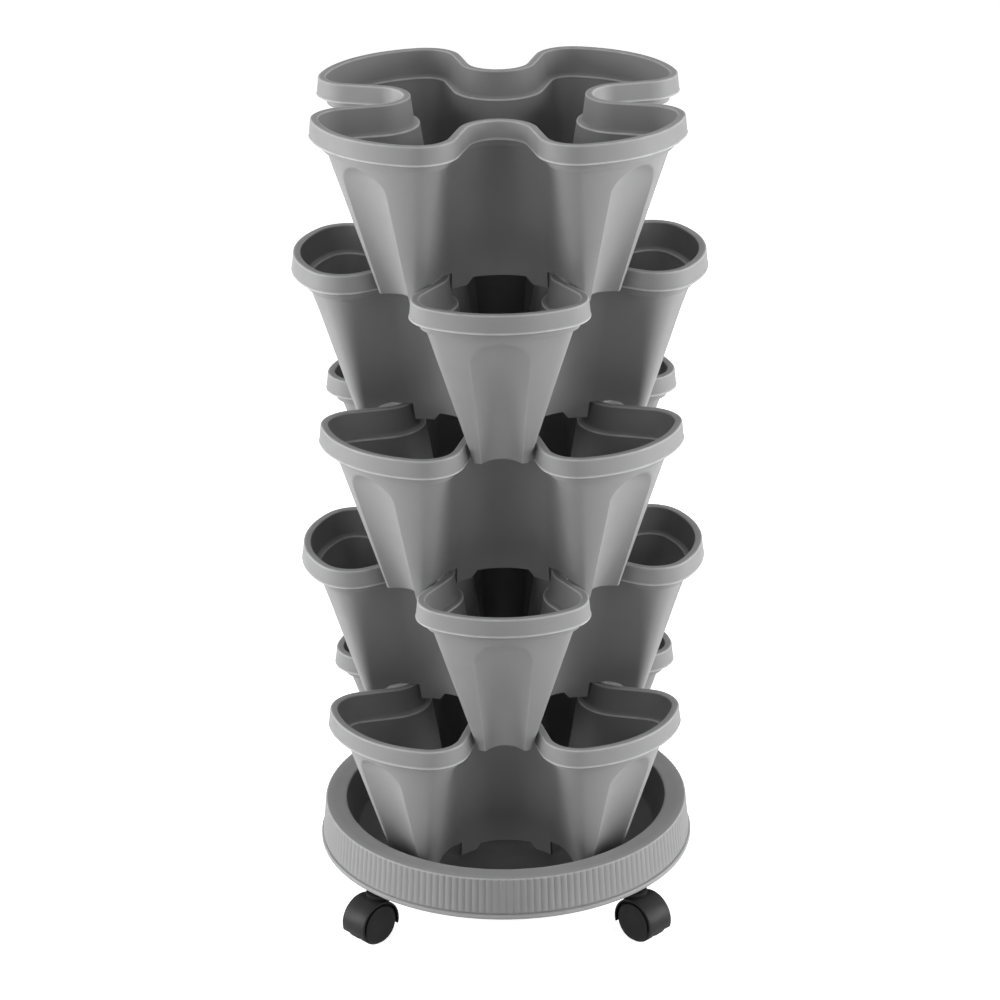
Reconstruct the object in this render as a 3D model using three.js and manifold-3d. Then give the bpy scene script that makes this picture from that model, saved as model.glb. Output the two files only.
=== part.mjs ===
// Vertical planter tower: five clover-shaped pots, stacked egg-crate fashion on a wheeled saucer.
// Millimetres, +Z up. The floor is z = 0, the tower's axis is Z, and the front faces -Y.
import * as THREE from 'three';
import { mergeVertices } from 'three/addons/utils/BufferGeometryUtils.js';
import Module from 'manifold-3d';

const wasm = await Module();
wasm.setup();

// Stack
const POTS = 5;
const LOBES = 4;
const POT_HEIGHT = 144;
const STACK_LAP = 14.5;       // how far a pot sinks over the rim of the pot below
const SEAT_GAP = 0.3;         // clearance left where one piece rests on another

// Pot: plan of the rim's inner edge, with a lobe on each axis
const RIM_TIP = 163.4;        // from the axis to the inner edge at a lobe's tip
const RIM_TIP_RADIUS = 94.5;
const RIM_CORNER_RADIUS = 24.5;
const RIM_FLANK_REACH = 101;  // distance along the lobe where the half width below is taken
const RIM_FLANK_HALF_WIDTH = 52.5;
const RIM_FLANK_DEGREES = 30.9;
const RIM_VALLEY = 70.4;      // from the axis to the curved wall between two lobes
const RIM_VALLEY_RADIUS = 31.4;

// Pot: plan of the outer wall at the bottom
const BASE_TIP = 119.8;
const BASE_TIP_RADIUS = 80;
const BASE_CORNER_RADIUS = 6;
const BASE_FLANK_DEGREES = 9;
const BASE_VALLEY = 45.8;
const BASE_VALLEY_RADIUS = 50;

// Pot: wall, turned-down rim band and the collar behind it
const WALL = 2;
const RIM_WIDTH = 6.4;
const RIM_THICKNESS = 2.6;
const BAND_DEPTH = 15.4;
const BAND_FLARE = 1.7;
const BAND_WALL = 2;
const COLLAR_DEPTH = 23;
const COLLAR_INSET = 0.6;     // collar's outside within the rim's inner edge, at its foot
const SHOULDER_INSET = 5.2;   // body's outside within the rim's inner edge, below the collar
const SHOULDER_DROP = 1.5;

// Pot: thumb-shaped flute down the outside of each lobe
const FLUTE_TOP = 29;         // below the rim
const FLUTE_ARCH = 17;        // length of the rounded top
const FLUTE_HALF_WIDTH = 24;  // at the foot of the rounded top
const FLUTE_BASE_HALF_WIDTH = 17.5;
const FLUTE_TOP_DEPTH = 0.8;
const FLUTE_DEPTH = 10.6;     // at the pot's bottom

// Pot: cut-outs round the bottom edge
const SLOT_CLEARANCE = 0.7;   // between the slot's inner end and the rim that passes through it
const SLOT_CORNER = 10;
const FOOT_LENGTH = 14;
const FOOT_CLEARANCE = 3.2;   // between a foot and the rim band beside it
const ARCH_HEIGHT = 6.4;
const ARCH_HALF_WIDTH = 26.3;
const ARCH_TOP_HALF_WIDTH = 21.4;

// Saucer
const TRAY_MARGIN = 10;       // floor of the tray beyond the pot's lobes
const TRAY_DEPTH = 29.9;
const TRAY_WALL_FLARE = 9.6;
const TRAY_FLOOR = 2;
const SAUCER_WALL = 2.2;
const SAUCER_RIM_WIDTH = 18.9;
const SAUCER_EDGE = 1.6;      // rounded edges of the rim
const SKIRT_HEIGHT = 35.2;
const SKIRT_FLARE = 3.4;
const BEAD_HEIGHT = 2.4;
const BEAD_PROUD = 0.9;
const SOCKET_RADIUS = 7;
const SOCKET_ROOF = 3.2;      // solid above the stem's bore, under the rim's top

// Caster
const CASTERS = 4;
const WHEEL_RADIUS = 19;
const WHEEL_WIDTH = 10.6;
const WHEEL_BEVEL = 1;
const WHEEL_FACE = 1.7;       // solid between the axle's end and the wheel's outer face
const WEB_THICKNESS = 4.4;    // of the housing, between the two wheels
const RUNNING_GAP = 0.4;      // beside each wheel
const WHEEL_CLEARANCE = 0.5;  // round each wheel's tread
const HOOD_WALL = 1.5;
const HOOD_FRONT_DEGREES = -18;
const HOOD_BACK_DEGREES = 170;
const HUB_DROP = 8;           // web below the axle's centre
const TRAIL = 18;             // from the stem's axis to the wheels' axis
const AXLE_RADIUS = 2.5;
const STEM_RADIUS = 4;
const STEM_FOOT = 8;          // stem below the hood's top
const STEM_TIP_BEVEL = 1;
const BOSS_RADIUS = 7;
const BOSS_RISE = 4.3;        // above the hood's top
const BOSS_DROP = 14;         // below the hood's top
const CASTER_GAP = 0.8;       // between the boss and the saucer's socket

// Facets
const TIP_FACETS = 2;
const CORNER_FACETS = 2;
const VALLEY_FACETS = 2;
const SLOT_FACETS = 2;
const SAUCER_FACETS = 40;
const HOOD_FACETS = 8;
const WHEEL_FACETS = 16;
const ROD_FACETS = 8;

// How far each cutter runs past the solid that it cuts
const OVERRUN = 1;

// Finishes
const planterPlastic = new THREE.MeshStandardMaterial({ color: 0x8c8c8c, roughness: 0.55, metalness: 0 });
const casterPlastic = new THREE.MeshStandardMaterial({ color: 0x1d1d1f, roughness: 0.45, metalness: 0 });
const wheelPlastic = new THREE.MeshStandardMaterial({ color: 0x242426, roughness: 0.5, metalness: 0 });
const steel = new THREE.MeshStandardMaterial({ color: 0xb4b6b8, roughness: 0.3, metalness: 1 });

// Levels
const hoodRadius = WHEEL_RADIUS + WHEEL_CLEARANCE + HOOD_WALL;
const hoodTop = WHEEL_RADIUS + hoodRadius;
const bossTop = hoodTop + BOSS_RISE;
const skirtFoot = bossTop + CASTER_GAP;
const saucerRimTop = skirtFoot + SKIRT_HEIGHT;
const trayFloorTop = saucerRimTop - TRAY_DEPTH;
const trayUnderside = trayFloorTop - TRAY_FLOOR;
const firstPotBase = trayFloorTop + SEAT_GAP;
const stackPitch = POT_HEIGHT - STACK_LAP;
const slotHeight = STACK_LAP + SEAT_GAP;

// Saucer's plan
const trayFloorRadius = BASE_TIP + TRAY_MARGIN;
const trayMouthRadius = trayFloorRadius + TRAY_WALL_FLARE;
const saucerRimRadius = trayMouthRadius + SAUCER_RIM_WIDTH;
const casterCircle = trayMouthRadius + SOCKET_RADIUS;

const lobeTurn = 2 * Math.PI / LOBES;
const radians = THREE.MathUtils.degToRad;

// Solids

function toSolid(geometry) {
  const bare = geometry.clone();
  bare.deleteAttribute('normal');
  bare.deleteAttribute('uv');
  const merged = mergeVertices(bare, 1e-4);
  return new wasm.Manifold(new wasm.Mesh({
    numProp: 3,
    vertProperties: new Float32Array(merged.attributes.position.array),
    triVerts: new Uint32Array(merged.index.array),
  }));
}

function toGeometry(solid) {
  const mesh = solid.getMesh();
  const geometry = new THREE.BufferGeometry();
  geometry.setAttribute('position', new THREE.BufferAttribute(new Float32Array(mesh.vertProperties), 3));
  geometry.setIndex(new THREE.BufferAttribute(new Uint32Array(mesh.triVerts), 1));
  geometry.computeVertexNormals();
  return geometry;
}

// Closed skin over rings of equal count, from the lowest ring up, each counter-clockwise seen from above
function loft(rings) {
  const count = rings[0].length;
  const positions = rings.flat().flatMap((point) => point.toArray());
  const faces = [];
  for (let level = 0; level + 1 < rings.length; level += 1) {
    for (let i = 0; i < count; i += 1) {
      const a = level * count + i;
      const b = level * count + (i + 1) % count;
      faces.push(a, b, b + count, a, b + count, a + count);
    }
  }
  const addCap = (ring, offset, upward) => {
    const contour = ring.map((point) => new THREE.Vector2(point.x, point.y));
    for (const [a, b, c] of THREE.ShapeUtils.triangulateShape(contour, [])) {
      if (upward) faces.push(a + offset, b + offset, c + offset);
      else faces.push(a + offset, c + offset, b + offset);
    }
  };
  addCap(rings[0], 0, false);
  addCap(rings[rings.length - 1], (rings.length - 1) * count, true);
  const geometry = new THREE.BufferGeometry();
  geometry.setAttribute('position', new THREE.Float32BufferAttribute(positions, 3));
  geometry.setIndex(faces);
  return geometry;
}

// Shape in the XZ plane, given thickness along Y from yStart to yEnd
function plateAcrossY(shape, yStart, yEnd, facets) {
  const geometry = new THREE.ExtrudeGeometry(shape, {
    depth: yEnd - yStart,
    bevelEnabled: false,
    curveSegments: facets,
  });
  geometry.rotateX(Math.PI / 2);
  geometry.translate(0, yEnd, 0);
  return geometry;
}

function uprightCylinder(radius, bottom, top, facets) {
  const geometry = new THREE.CylinderGeometry(radius, radius, top - bottom, facets);
  geometry.rotateX(Math.PI / 2);
  geometry.translate(0, 0, (bottom + top) / 2);
  return geometry;
}

function aboutZ(geometry, angle) {
  return geometry.clone().rotateZ(angle);
}

// Pot's plan

const rimPlan = {
  tip: RIM_TIP,
  tipRadius: RIM_TIP_RADIUS,
  cornerRadius: RIM_CORNER_RADIUS,
  flankReach: RIM_FLANK_REACH,
  flankHalfWidth: RIM_FLANK_HALF_WIDTH,
  flankAngle: radians(RIM_FLANK_DEGREES),
  valley: RIM_VALLEY,
  valleyRadius: RIM_VALLEY_RADIUS,
};

// Half width of the notch that the band leaves between two lobes, at a distance along the notch
function notchHalfWidth(distance) {
  const bandOut = RIM_WIDTH + BAND_FLARE;
  const turn = lobeTurn / 2;
  const slope = Math.tan(rimPlan.flankAngle);
  const lateral = RIM_FLANK_HALF_WIDTH - RIM_FLANK_REACH * slope + bandOut / Math.cos(rimPlan.flankAngle);
  return (distance * (Math.sin(turn) - slope * Math.cos(turn)) - lateral)
    / (Math.cos(turn) + slope * Math.sin(turn));
}

// A pot's feet hang in the notches of the pot below, so their width follows from the notch
const footStart = BASE_TIP - FOOT_LENGTH;
const basePlan = {
  tip: BASE_TIP,
  tipRadius: BASE_TIP_RADIUS,
  cornerRadius: BASE_CORNER_RADIUS,
  flankReach: footStart,
  flankHalfWidth: notchHalfWidth(footStart) - FOOT_CLEARANCE,
  flankAngle: radians(BASE_FLANK_DEGREES),
  valley: BASE_VALLEY,
  valleyRadius: BASE_VALLEY_RADIUS,
};

function arcPoints(centre, radius, from, to, facets) {
  const points = [];
  for (let i = 0; i <= facets; i += 1) {
    const angle = from + (to - from) * i / facets;
    points.push(new THREE.Vector2(
      centre.x + radius * Math.cos(angle),
      centre.y + radius * Math.sin(angle),
    ));
  }
  return points;
}

// One lobe's upper half, from its tip to the valley: tip arc, corner, straight flank, valley arc
function halfLobe(plan, grow) {
  const tipRadius = plan.tipRadius + grow;
  const cornerRadius = plan.cornerRadius + grow;
  const valleyRadius = plan.valleyRadius - grow;
  const tipCentre = new THREE.Vector2(plan.tip - plan.tipRadius, 0);
  const along = new THREE.Vector2(Math.cos(plan.flankAngle), Math.sin(plan.flankAngle));
  const out = new THREE.Vector2(-along.y, along.x);
  const flank = new THREE.Vector2(plan.flankReach, plan.flankHalfWidth).addScaledVector(out, grow);

  const cornerBase = flank.clone().addScaledVector(out, -cornerRadius).sub(tipCentre);
  const half = cornerBase.dot(along);
  const reach = tipRadius - cornerRadius;
  const slide = -half + Math.sqrt(half * half - cornerBase.lengthSq() + reach * reach);
  const fromTipCentre = cornerBase.addScaledVector(along, slide);
  const cornerCentre = fromTipCentre.clone().add(tipCentre);

  const turn = lobeTurn / 2;
  const valleyOut = new THREE.Vector2(Math.cos(turn), Math.sin(turn));
  const flankLine = out.dot(flank) + valleyRadius;
  const valleyLine = plan.valley + grow + valleyRadius;
  const determinant = out.x * valleyOut.y - out.y * valleyOut.x;
  const valleyCentre = new THREE.Vector2(
    (flankLine * valleyOut.y - valleyLine * out.y) / determinant,
    (valleyLine * out.x - flankLine * valleyOut.x) / determinant,
  );
  return [
    ...arcPoints(tipCentre, tipRadius, 0, fromTipCentre.angle(), TIP_FACETS),
    ...arcPoints(cornerCentre, cornerRadius, fromTipCentre.angle(), out.angle(), CORNER_FACETS).slice(1),
    ...arcPoints(valleyCentre, valleyRadius, out.angle() + Math.PI, turn + Math.PI, VALLEY_FACETS),
  ];
}

// Whole clover, counter-clockwise, at height z
function cloverRing(plan, grow, z) {
  const upper = halfLobe(plan, grow);
  const lower = upper.slice(1).reverse().map((point) => new THREE.Vector2(point.x, -point.y));
  const ring = [];
  for (let lobe = 0; lobe < LOBES; lobe += 1) {
    for (const point of [...lower, ...upper]) {
      const turned = point.clone().rotateAround(new THREE.Vector2(), lobe * lobeTurn);
      ring.push(new THREE.Vector3(turned.x, turned.y, z));
    }
  }
  return ring;
}

// Pot's body

function potOutside() {
  const rim = POT_HEIGHT;
  const bandOut = RIM_WIDTH + BAND_FLARE;
  return loft([
    cloverRing(basePlan, 0, 0),
    cloverRing(rimPlan, -SHOULDER_INSET, rim - COLLAR_DEPTH - SHOULDER_DROP),
    cloverRing(rimPlan, -COLLAR_INSET, rim - COLLAR_DEPTH),
    cloverRing(rimPlan, (WALL + RIM_WIDTH - BAND_WALL) / 2, rim - RIM_THICKNESS),
    cloverRing(rimPlan, bandOut - BAND_WALL, rim - BAND_DEPTH),
    cloverRing(rimPlan, bandOut, rim - BAND_DEPTH),
    cloverRing(rimPlan, RIM_WIDTH, rim),
  ]);
}

function potInside() {
  const rim = POT_HEIGHT;
  return loft([
    cloverRing(basePlan, -WALL, -OVERRUN),
    cloverRing(basePlan, -WALL, 0),
    cloverRing(rimPlan, -SHOULDER_INSET - WALL, rim - COLLAR_DEPTH),
    cloverRing(rimPlan, -COLLAR_INSET - WALL, rim - COLLAR_DEPTH + SHOULDER_DROP),
    cloverRing(rimPlan, 0, rim),
    cloverRing(rimPlan, 0, rim + OVERRUN),
  ]);
}

const baseTipArc = halfLobe(basePlan, 0).slice(0, TIP_FACETS + 1);
const shoulderTipArc = halfLobe(rimPlan, -SHOULDER_INSET).slice(0, TIP_FACETS + 1);

// From the axis to a lobe's outer wall: rise is 0 at the bottom and 1 at the shoulder, y is the offset
function wallReach(rise, y) {
  const side = Math.abs(y);
  const points = baseTipArc.map((point, i) => point.clone().lerp(shoulderTipArc[i], rise));
  const next = Math.max(1, points.findIndex((point) => point.y >= side));
  const [from, to] = [points[next - 1], points[next]];
  return from.x + (to.x - from.x) * (side - from.y) / (to.y - from.y);
}

// Cutter for a lobe's flute: its inner side is a shallow scoop that deepens and narrows downwards
function flute(inset) {
  const topZ = POT_HEIGHT - FLUTE_TOP;
  const shoulderZ = POT_HEIGHT - COLLAR_DEPTH - SHOULDER_DROP;
  const archShares = [0.02, 0.4, 1];
  const acrossShares = [-1.15, -0.45, 0.45, 1.15];
  const levels = [...archShares.map((share) => topZ - FLUTE_ARCH * share), -OVERRUN];
  const rings = levels.map((z) => {
    const fall = (topZ - z) / topZ;
    const rise = z / shoulderZ;
    const depth = FLUTE_TOP_DEPTH + (FLUTE_DEPTH - FLUTE_TOP_DEPTH) * fall;
    const archShare = Math.min(1, fall * topZ / FLUTE_ARCH);
    const straightShare = Math.max(0, (topZ - FLUTE_ARCH - z) / (topZ - FLUTE_ARCH));
    const straight = FLUTE_HALF_WIDTH + (FLUTE_BASE_HALF_WIDTH - FLUTE_HALF_WIDTH) * straightShare;
    const halfWidth = straight * Math.sqrt(1 - (1 - archShare) ** 2) + inset;
    const scoop = acrossShares.map((share) => {
      const y = halfWidth * share;
      return new THREE.Vector3(wallReach(rise, y) - inset - depth * (1 - share * share), y, z);
    });
    const edge = scoop[scoop.length - 1].y;
    const outer = wallReach(rise, 0) + FLUTE_DEPTH;
    return [new THREE.Vector3(outer, -edge, z), new THREE.Vector3(outer, edge, z), ...scoop.reverse()];
  });
  return loft(rings.reverse());
}

// Where the inside of the rim below crosses a flank, as a distance along the notch
function rimCrossing(depth) {
  const inside = (COLLAR_INSET + WALL) * depth / (COLLAR_DEPTH - SHOULDER_DROP);
  const arc = RIM_VALLEY_RADIUS + inside;
  const centre = RIM_VALLEY + RIM_VALLEY_RADIUS;
  const side = basePlan.flankHalfWidth - (footStart - centre + arc) * Math.tan(basePlan.flankAngle);
  return centre - Math.sqrt(arc * arc - side * side);
}

// Cutters for the slots in a lobe's two flanks, which let the rim of the pot below pass through
function flankSlots() {
  const innerTop = rimCrossing(0) - SLOT_CLEARANCE;
  const innerFoot = rimCrossing(STACK_LAP) - SLOT_CLEARANCE;
  const corner = Math.min(SLOT_CORNER, slotHeight, footStart - innerTop);
  const shape = new THREE.Shape();
  shape.moveTo(innerFoot, -OVERRUN);
  shape.lineTo(footStart, -OVERRUN);
  shape.lineTo(footStart, slotHeight - corner);
  shape.absarc(footStart - corner, slotHeight - corner, corner, 0, Math.PI / 2, false);
  shape.lineTo(innerTop, slotHeight);
  shape.lineTo(innerFoot, 0);
  const fall = (footStart - innerFoot) * Math.tan(basePlan.flankAngle);
  const innerSide = basePlan.flankHalfWidth - fall - 2 * WALL;
  return [
    plateAcrossY(shape, innerSide, RIM_FLANK_HALF_WIDTH, SLOT_FACETS),
    plateAcrossY(shape, -RIM_FLANK_HALF_WIDTH, -innerSide, SLOT_FACETS),
  ];
}

// Cutter for the low arch in a valley's wall
function valleyArch() {
  const shape = new THREE.Shape();
  const slope = (ARCH_HALF_WIDTH - ARCH_TOP_HALF_WIDTH) / ARCH_HEIGHT;
  const lowHalfWidth = ARCH_HALF_WIDTH + OVERRUN * slope;
  shape.moveTo(-lowHalfWidth, -OVERRUN);
  shape.lineTo(lowHalfWidth, -OVERRUN);
  shape.lineTo(ARCH_TOP_HALF_WIDTH, ARCH_HEIGHT);
  shape.lineTo(-ARCH_TOP_HALF_WIDTH, ARCH_HEIGHT);
  return plateAcrossY(shape, BASE_VALLEY - 2 * WALL, RIM_VALLEY, SLOT_FACETS);
}

function potGeometry() {
  const turns = Array.from({ length: LOBES }, (_, lobe) => lobe * lobeTurn);
  let outside = toSolid(potOutside());
  let inside = toSolid(potInside());
  for (const turn of turns) {
    outside = outside.subtract(toSolid(aboutZ(flute(0), turn)));
    inside = inside.subtract(toSolid(aboutZ(flute(WALL), turn)));
  }
  let pot = outside.subtract(inside);
  const arch = valleyArch();
  for (const turn of turns) {
    for (const slot of flankSlots()) {
      pot = pot.subtract(toSolid(aboutZ(slot, turn)));
    }
    pot = pot.subtract(toSolid(aboutZ(arch, turn + lobeTurn / 2 - Math.PI / 2)));
  }
  return toGeometry(pot);
}

// Saucer

function saucerGeometry() {
  const rim = saucerRimTop;
  const skirtFootRadius = saucerRimRadius + SKIRT_FLARE;
  const wallFootRadius = trayFloorRadius + SAUCER_WALL;
  const profile = [
    [0, trayUnderside],
    [wallFootRadius, trayUnderside],
    [trayMouthRadius + SAUCER_WALL, rim - SAUCER_WALL],
    [saucerRimRadius - SAUCER_WALL, rim - SAUCER_WALL],
    [skirtFootRadius - SAUCER_WALL, skirtFoot],
    [skirtFootRadius + BEAD_PROUD, skirtFoot],
    [skirtFootRadius + BEAD_PROUD, skirtFoot + BEAD_HEIGHT],
    [skirtFootRadius, skirtFoot + BEAD_HEIGHT + BEAD_PROUD],
    [saucerRimRadius, rim - SAUCER_EDGE],
    [saucerRimRadius - SAUCER_EDGE, rim],
    [trayMouthRadius + SAUCER_EDGE, rim],
    [trayMouthRadius, rim - SAUCER_EDGE],
    [trayFloorRadius, trayFloorTop],
    [0, trayFloorTop],
  ];
  const bowl = new THREE.LatheGeometry(profile.map(([r, z]) => new THREE.Vector2(r, z)), SAUCER_FACETS);
  bowl.rotateX(Math.PI / 2);
  let saucer = toSolid(bowl);
  for (let i = 0; i < CASTERS; i += 1) {
    const [x, y] = casterPlace(i);
    const socket = uprightCylinder(SOCKET_RADIUS, skirtFoot, rim - SAUCER_WALL / 2, ROD_FACETS);
    saucer = saucer.add(toSolid(socket.translate(x, y, 0)));
  }
  for (let i = 0; i < CASTERS; i += 1) {
    const [x, y] = casterPlace(i);
    const bore = uprightCylinder(
      STEM_RADIUS + SEAT_GAP,
      skirtFoot - OVERRUN,
      rim - SOCKET_ROOF,
      ROD_FACETS,
    );
    saucer = saucer.subtract(toSolid(bore.translate(x, y, 0)));
  }
  return toGeometry(saucer);
}

// Casters

function casterAngle(i) {
  return Math.PI / 4 + i * 2 * Math.PI / CASTERS;
}

function casterPlace(i) {
  return [casterCircle * Math.cos(casterAngle(i)), casterCircle * Math.sin(casterAngle(i))];
}

const stemTop = saucerRimTop - SOCKET_ROOF - SEAT_GAP;
const stemBottom = hoodTop - STEM_FOOT;
const housingWidth = WEB_THICKNESS + 2 * (RUNNING_GAP + WHEEL_WIDTH);
const axleLength = housingWidth - 2 * (WHEEL_FACE + SEAT_GAP);

// Side view of the housing: a hood over the wheels, closed below the axle by a hub
function housingShape() {
  const from = radians(HOOD_FRONT_DEGREES);
  const to = radians(HOOD_BACK_DEGREES);
  const shape = new THREE.Shape();
  shape.absarc(TRAIL, WHEEL_RADIUS, hoodRadius, from, to, false);
  shape.lineTo(TRAIL - HUB_DROP, WHEEL_RADIUS - HUB_DROP / 2);
  shape.lineTo(TRAIL, WHEEL_RADIUS - HUB_DROP);
  shape.closePath();
  return shape;
}

function acrossCylinder(radius, yStart, yEnd, facets) {
  const geometry = new THREE.CylinderGeometry(radius, radius, yEnd - yStart, facets);
  geometry.rotateY(Math.PI / facets);
  geometry.translate(TRAIL, (yStart + yEnd) / 2, WHEEL_RADIUS);
  return geometry;
}

function housingGeometry() {
  const half = housingWidth / 2;
  const boss = uprightCylinder(BOSS_RADIUS, hoodTop - BOSS_DROP, bossTop, ROD_FACETS);
  const stemBore = uprightCylinder(
    STEM_RADIUS + SEAT_GAP,
    stemBottom - SEAT_GAP,
    bossTop + OVERRUN,
    ROD_FACETS,
  );
  const wellRadius = (WHEEL_RADIUS + WHEEL_CLEARANCE) / Math.cos(Math.PI / WHEEL_FACETS);
  const axleBore = acrossCylinder(AXLE_RADIUS + SEAT_GAP, -half, half, ROD_FACETS);
  let housing = toSolid(plateAcrossY(housingShape(), -half, half, HOOD_FACETS)).add(toSolid(boss));
  for (const [start, end] of [[WEB_THICKNESS / 2, half + OVERRUN], [-half - OVERRUN, -WEB_THICKNESS / 2]]) {
    housing = housing.subtract(toSolid(acrossCylinder(wellRadius, start, end, WHEEL_FACETS)));
  }
  return toGeometry(housing.subtract(toSolid(axleBore)).subtract(toSolid(stemBore)));
}

// Wheel in its own frame: axis on Y, inner face towards the web, bore open to the web only
function wheelGeometry() {
  const flatRadius = WHEEL_RADIUS / Math.cos(Math.PI / WHEEL_FACETS);
  const inner = WEB_THICKNESS / 2 + RUNNING_GAP;
  const outer = inner + WHEEL_WIDTH;
  const bore = AXLE_RADIUS + SEAT_GAP;
  const profile = [
    [0, outer - WHEEL_FACE],
    [bore, outer - WHEEL_FACE],
    [bore, inner],
    [flatRadius, inner],
    [flatRadius, outer - WHEEL_BEVEL],
    [flatRadius - WHEEL_BEVEL, outer],
    [0, outer],
  ];
  const wheel = new THREE.LatheGeometry(profile.map(([r, y]) => new THREE.Vector2(r, y)), WHEEL_FACETS);
  return wheel.rotateY(Math.PI / WHEEL_FACETS);
}

function stemGeometry() {
  const profile = [
    [0, stemBottom],
    [STEM_RADIUS, stemBottom],
    [STEM_RADIUS, stemTop - STEM_TIP_BEVEL],
    [STEM_RADIUS - STEM_TIP_BEVEL, stemTop],
    [0, stemTop],
  ];
  const stem = new THREE.LatheGeometry(profile.map(([r, z]) => new THREE.Vector2(r, z)), ROD_FACETS);
  return stem.rotateX(Math.PI / 2);
}

// Assembly

const tower = new THREE.Group();

function place(name, geometry, material, parent = tower) {
  const mesh = new THREE.Mesh(geometry, material);
  mesh.name = name;
  parent.add(mesh);
  return mesh;
}

place('saucer', saucerGeometry(), planterPlastic);

const pot = potGeometry();
for (let i = 0; i < POTS; i += 1) {
  const mesh = place(`planter_tier_${i + 1}`, pot, planterPlastic);
  mesh.position.z = firstPotBase + i * stackPitch;
  mesh.rotation.z = i % 2 === 0 ? lobeTurn / 2 : 0;
}

const housing = housingGeometry();
const wheel = wheelGeometry();
const stem = stemGeometry();
const axle = acrossCylinder(AXLE_RADIUS, -axleLength / 2, axleLength / 2, ROD_FACETS);
const casterNames = ['rear_right', 'rear_left', 'front_left', 'front_right'];
for (let i = 0; i < CASTERS; i += 1) {
  const caster = new THREE.Group();
  const [x, y] = casterPlace(i);
  const name = casterNames[i];
  caster.position.set(x, y, 0);
  caster.rotation.z = casterAngle(i);
  tower.add(caster);
  place(`caster_stem_${name}`, stem, steel, caster);
  place(`caster_housing_${name}`, housing, casterPlastic, caster);
  place(`caster_axle_${name}`, axle, steel, caster);
  for (const [side, turn] of [['a', 0], ['b', Math.PI]]) {
    const mesh = place(`caster_wheel_${name}_${side}`, wheel, wheelPlastic, caster);
    mesh.position.set(TRAIL, 0, WHEEL_RADIUS);
    mesh.rotation.z = turn;
  }
}

export default tower;
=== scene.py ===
from math import asin, atan2, cos, pi, radians, sin, sqrt
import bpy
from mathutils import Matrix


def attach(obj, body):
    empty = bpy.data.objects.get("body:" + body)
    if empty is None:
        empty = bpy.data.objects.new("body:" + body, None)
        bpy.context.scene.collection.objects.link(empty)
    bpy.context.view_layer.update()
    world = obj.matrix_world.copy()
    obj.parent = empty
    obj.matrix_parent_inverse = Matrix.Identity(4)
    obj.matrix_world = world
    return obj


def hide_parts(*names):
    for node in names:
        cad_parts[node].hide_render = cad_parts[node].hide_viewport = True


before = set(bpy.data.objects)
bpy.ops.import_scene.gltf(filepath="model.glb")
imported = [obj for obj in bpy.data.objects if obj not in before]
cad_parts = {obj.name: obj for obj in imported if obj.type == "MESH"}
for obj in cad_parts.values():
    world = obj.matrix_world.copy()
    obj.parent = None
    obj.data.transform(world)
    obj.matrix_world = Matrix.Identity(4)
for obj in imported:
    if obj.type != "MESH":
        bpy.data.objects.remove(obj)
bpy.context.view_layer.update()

from types import SimpleNamespace

import bmesh
import bpy
from mathutils import Matrix, Vector

# Vertical planter tower. Lengths in this script are millimetres until a mesh is made.
MM = 0.001

# Distances in metres within which points are merged, and below which edges are dropped
MERGE = 2e-6
SHORTEST_EDGE = 1e-6

# Stack, as in the solids
POTS = 5
LOBES = 4
STACK_PITCH = 129.5
SLOT_HEIGHT = 14.8

# Pot's plans: the rim's inner edge and the outer wall at the bottom
RIM = SimpleNamespace(
    tip=163.4,
    tip_radius=94.5,
    corner_radius=24.5,
    flank=(101, 52.5),
    angle=radians(30.9),
    valley=70.4,
    valley_radius=31.4,
)
BASE = SimpleNamespace(
    tip=119.8,
    tip_radius=80,
    corner_radius=6,
    flank=(105.8, 22.05),
    angle=radians(9),
    valley=45.8,
    valley_radius=50,
)
WALL = 2
SHOULDER = 119.5
SHOULDER_INSET = 5.2

# Flute down each lobe
FLUTE_TOP = 116.5
FLUTE_ARCH = 20
FLUTE_HALF_WIDTH = 24
FLUTE_BASE_HALF_WIDTH = 16.4
FLUTE_TOP_DEPTH = 4
FLUTE_DEPTH = 12.5
FLUTE_END = 10
FLUTE_FALL = 0.6
FLUTE_FULLNESS = 2.05
# Painted highlight along the ridges beside each flute: its width and strength
RIDGE_WIDTH = 1.1
RIDGE_HIGHLIGHT = 0.12

# Cut-outs round the pot's bottom edge
SLOT_INNER = 71.6
SLOT_OUTER = 105.8
SLOT_CORNER = 10
SLOT_BOW = 2.6
ARCH_HEIGHT = 6.4
ARCH_HALF_WIDTH = 26.3
ARCH_TOP_HALF_WIDTH = 21.4

# Saucer, and the play between its floor and the lowest pot
TRAY_FLOOR_TOP = 50.4
FLOOR_PLAY = 0.3
REEDS = 172
REED_DEPTH = 0.6
REED_STEPS = 8

# Casters
CASTER_NAMES = ("rear_right", "rear_left", "front_left", "front_right")
CASTER_CIRCLE = 146.4
TRAIL = 18
WHEEL_RADIUS = 19
HOOD_RADIUS = 21
HOOD_INNER_RADIUS = 19.5
HOOD_START = radians(-18)
HOOD_END = radians(197)
HOOD_STEPS = 48
WEB_INNER_RADIUS = 10
WEB_HALF = 2.2
WHEEL_INNER = 2.6
WHEEL_OUTER = 13.2
WHEEL_STEPS = 96
CAP_STRETCH = 1.25
CAP_REACH_FORWARD = 0.25


def unit(angle):
    return Vector((cos(angle), sin(angle)))


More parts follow.
